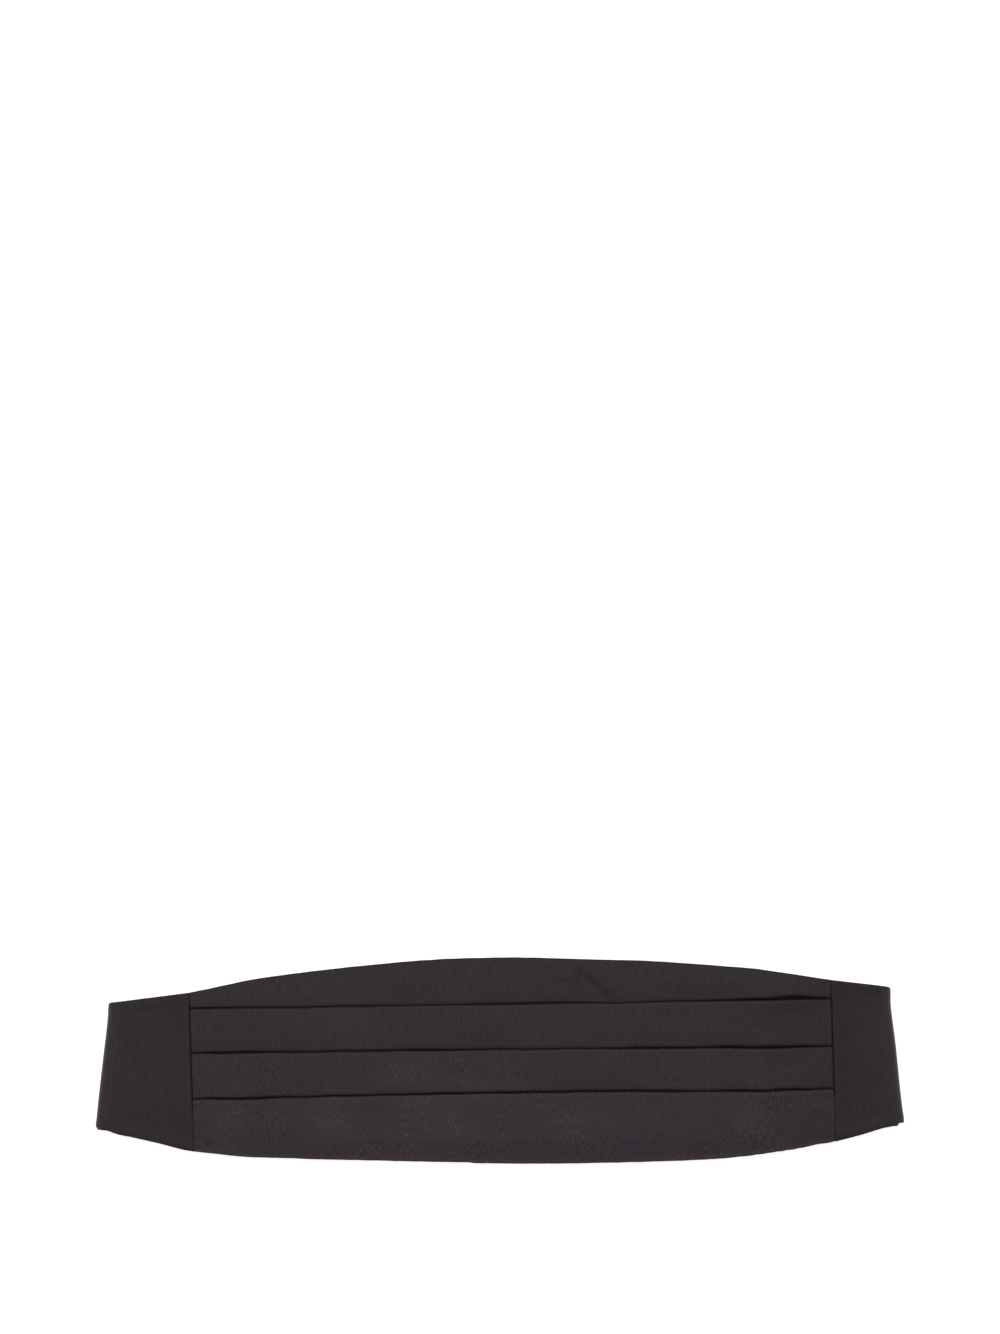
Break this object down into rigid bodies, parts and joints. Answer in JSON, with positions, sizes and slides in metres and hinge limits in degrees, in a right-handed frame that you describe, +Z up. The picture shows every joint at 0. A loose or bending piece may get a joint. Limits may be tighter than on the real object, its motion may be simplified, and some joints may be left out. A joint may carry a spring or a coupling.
{
  "type": "cummerbund",
  "caption": "Pleated dress waist sash, fastened and lying on its back: a tapered satin front with upward pleats, plain wings folded behind it, and a strap with a slotted clasp.",
  "frame": {"origin": "middle of the footprint, on the surface that the fastened cummerbund lies on", "axes": "+X along the front to the picture's right, +Y towards the top edge of the front, +Z up out of the pleats"},
  "size_m": [0.4702, 0.12, 0.0142],
  "materials": {
    "pleated_satin": "black satin with a fine upright grain and a soft sheen",
    "wing_satin": "black satin, slightly duller than the pleats",
    "strap_elastic": "black ribbed elastic, matt",
    "clasp_metal": "nickel-plated steel, lightly brushed"
  },
  "bodies": {
    "root": {"pleated_front": "pleated_satin", "wing_left": "wing_satin", "wing_right": "wing_satin", "strap_left": "strap_elastic", "strap_right": "strap_elastic", "clasp": "clasp_metal"}
  },
  "joints": []
}
